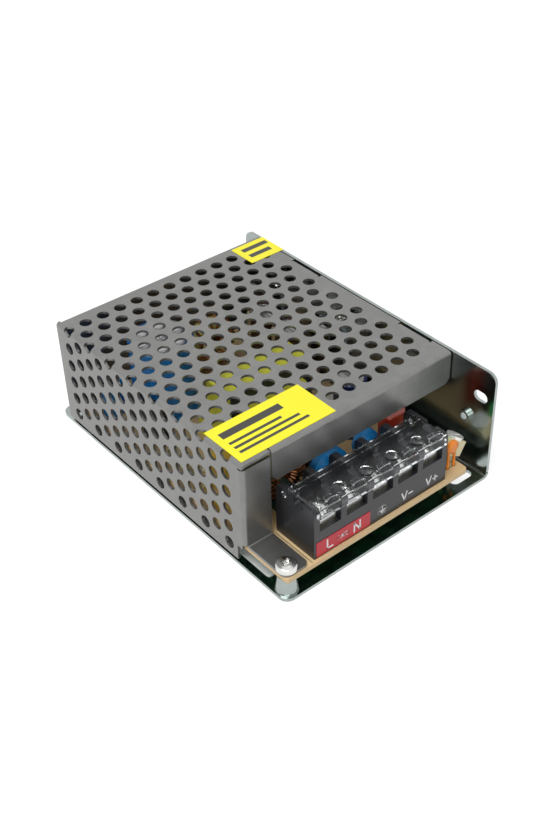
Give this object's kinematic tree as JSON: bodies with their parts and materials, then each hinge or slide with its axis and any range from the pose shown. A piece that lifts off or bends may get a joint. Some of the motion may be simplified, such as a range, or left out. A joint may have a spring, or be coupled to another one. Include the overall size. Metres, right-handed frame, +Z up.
{
  "type": "switching power supply",
  "caption": "Switching power supply in a vented folded-steel case, with a barrier terminal block under a hinged clear cover and an output trimmer beside it.",
  "frame": {"origin": "centre of the base plate's underside", "axes": "+X towards the side wall of the base bracket, the terminals face -Y, +Z up"},
  "size_m": [0.078, 0.111, 0.0371],
  "materials": {
    "zinc_steel": "bright zinc plate",
    "grey_steel": "satin grey plate",
    "film": "matte",
    "board": "matte resin",
    "screw_steel": "bright zinc plate",
    "extruded_aluminium": "plain milled",
    "device_black": "moulded",
    "pad_grey": "matte",
    "spring_steel": "bright",
    "block_black": "moulded, satin",
    "contact_metal": "tinned",
    "clear_plastic": "clear, polished",
    "label_red": "printed",
    "label_yellow": "printed",
    "sleeve_navy": "shrink sleeve",
    "sleeve_blue": "shrink sleeve",
    "sleeve_brown": "shrink sleeve",
    "ferrite": "matte",
    "tape_yellow": "wound tape",
    "box_yellow": "moulded",
    "enamel_copper": "enamelled copper wire",
    "core_green": "coated",
    "core_yellow": "coated",
    "dip_blue": "dipped",
    "dip_red": "dipped",
    "dip_orange": "dipped",
    "dip_green": "dipped",
    "lamp_green": "tinted resin",
    "ceramic_cream": "moulded",
    "glass_tube": "clear",
    "chip_white": "moulded",
    "resistor_blue": "lacquered"
  },
  "bodies": {
    "case": {"base_bracket": "zinc_steel", "cover": "grey_steel", "insulating_sheet": "film", "circuit_board": "board", "board_screws": "screw_steel", "wall_screws": "screw_steel", "heat_bar": "extruded_aluminium", "switching_transistor": "device_black", "output_rectifier": "device_black", "transistor_pad": "pad_grey", "rectifier_pad": "pad_grey", "transistor_clip": "spring_steel", "rectifier_clip": "spring_steel", "clip_screws": "screw_steel", "terminal_block": "block_black", "contact_1": "contact_metal", "contact_2": "contact_metal", "contact_3": "contact_metal", "contact_4": "contact_metal", "contact_5": "contact_metal", "mains_label": "label_red", "top_label": "label_yellow", "seal_label": "label_yellow", "bulk_capacitor": "sleeve_blue", "small_capacitor": "sleeve_blue", "output_capacitor_1": "sleeve_navy", "output_capacitor_2": "sleeve_brown", "output_capacitor_3": "sleeve_brown", "transformer_core": "ferrite", "transformer_winding": "tape_yellow", "filter_capacitor": "box_yellow", "choke_core": "core_green", "choke_winding": "enamel_copper", "varistor": "dip_blue", "suppressor_capacitor": "dip_blue", "film_capacitor": "dip_red", "disc_capacitor": "dip_orange", "indicator_lamp": "lamp_green", "trimmer_body": "ceramic_cream", "inductor_core": "core_yellow", "inductor_winding": "enamel_copper", "bridge_rectifier": "device_black", "fuse": "glass_tube", "thermistor": "dip_green", "control_chip": "device_black", "optocoupler": "chip_white", "load_resistor": "resistor_blue"},
    "lid": {"terminal_cover": "clear_plastic"},
    "trimmer_turn": {"trimmer_rotor": "screw_steel"},
    "clamp_1": {"clamp_plate_1": "screw_steel"},
    "screw_1": {"terminal_screw_1": "screw_steel"},
    "clamp_2": {"clamp_plate_2": "screw_steel"},
    "screw_2": {"terminal_screw_2": "screw_steel"},
    "clamp_3": {"clamp_plate_3": "screw_steel"},
    "screw_3": {"terminal_screw_3": "screw_steel"},
    "clamp_4": {"clamp_plate_4": "screw_steel"},
    "screw_4": {"terminal_screw_4": "screw_steel"},
    "clamp_5": {"clamp_plate_5": "screw_steel"},
    "screw_5": {"terminal_screw_5": "screw_steel"}
  },
  "joints": [
    {"name": "lid_hinge", "type": "hinge", "parent": "case", "child": "lid", "pos_m": [-0.0026, -0.0414, 0.0227], "axis": [-1, 0, 0], "range_deg": [0, 62]},
    {"name": "trimmer_spin", "type": "hinge", "parent": "case", "child": "trimmer_turn", "pos_m": [0.0324, -0.0469, 0.0135], "axis": [0.5, 0, 0.866], "range_deg": [-130, 130]},
    {"name": "clamp_lift_1", "type": "slide", "parent": "case", "child": "clamp_1", "axis": [0, 0, 1], "range_m": [0, 0.002]},
    {"name": "screw_turn_1", "type": "hinge", "parent": "clamp_1", "child": "screw_1", "pos_m": [-0.02165, -0.0485, 0.0184], "axis": [0, 0, 1], "range_deg": [0, 1440]},
    {"name": "clamp_lift_2", "type": "slide", "parent": "case", "child": "clamp_2", "axis": [0, 0, 1], "range_m": [0, 0.002]},
    {"name": "screw_turn_2", "type": "hinge", "parent": "clamp_2", "child": "screw_2", "pos_m": [-0.01215, -0.0485, 0.0184], "axis": [0, 0, 1], "range_deg": [0, 1440]},
    {"name": "clamp_lift_3", "type": "slide", "parent": "case", "child": "clamp_3", "axis": [0, 0, 1], "range_m": [0, 0.002]},
    {"name": "screw_turn_3", "type": "hinge", "parent": "clamp_3", "child": "screw_3", "pos_m": [-0.00265, -0.0485, 0.0184], "axis": [0, 0, 1], "range_deg": [0, 1440]},
    {"name": "clamp_lift_4", "type": "slide", "parent": "case", "child": "clamp_4", "axis": [0, 0, 1], "range_m": [0, 0.002]},
    {"name": "screw_turn_4", "type": "hinge", "parent": "clamp_4", "child": "screw_4", "pos_m": [0.00685, -0.0485, 0.0184], "axis": [0, 0, 1], "range_deg": [0, 1440]},
    {"name": "clamp_lift_5", "type": "slide", "parent": "case", "child": "clamp_5", "axis": [0, 0, 1], "range_m": [0, 0.002]},
    {"name": "screw_turn_5", "type": "hinge", "parent": "clamp_5", "child": "screw_5", "pos_m": [0.01635, -0.0485, 0.0184], "axis": [0, 0, 1], "range_deg": [0, 1440]}
  ],
  "couplings": [
    {"joint": "screw_turn_1", "follows": "clamp_lift_1", "rad_per_m": 12566},
    {"joint": "screw_turn_2", "follows": "clamp_lift_2", "rad_per_m": 12566},
    {"joint": "screw_turn_3", "follows": "clamp_lift_3", "rad_per_m": 12566},
    {"joint": "screw_turn_4", "follows": "clamp_lift_4", "rad_per_m": 12566},
    {"joint": "screw_turn_5", "follows": "clamp_lift_5", "rad_per_m": 12566}
  ]
}
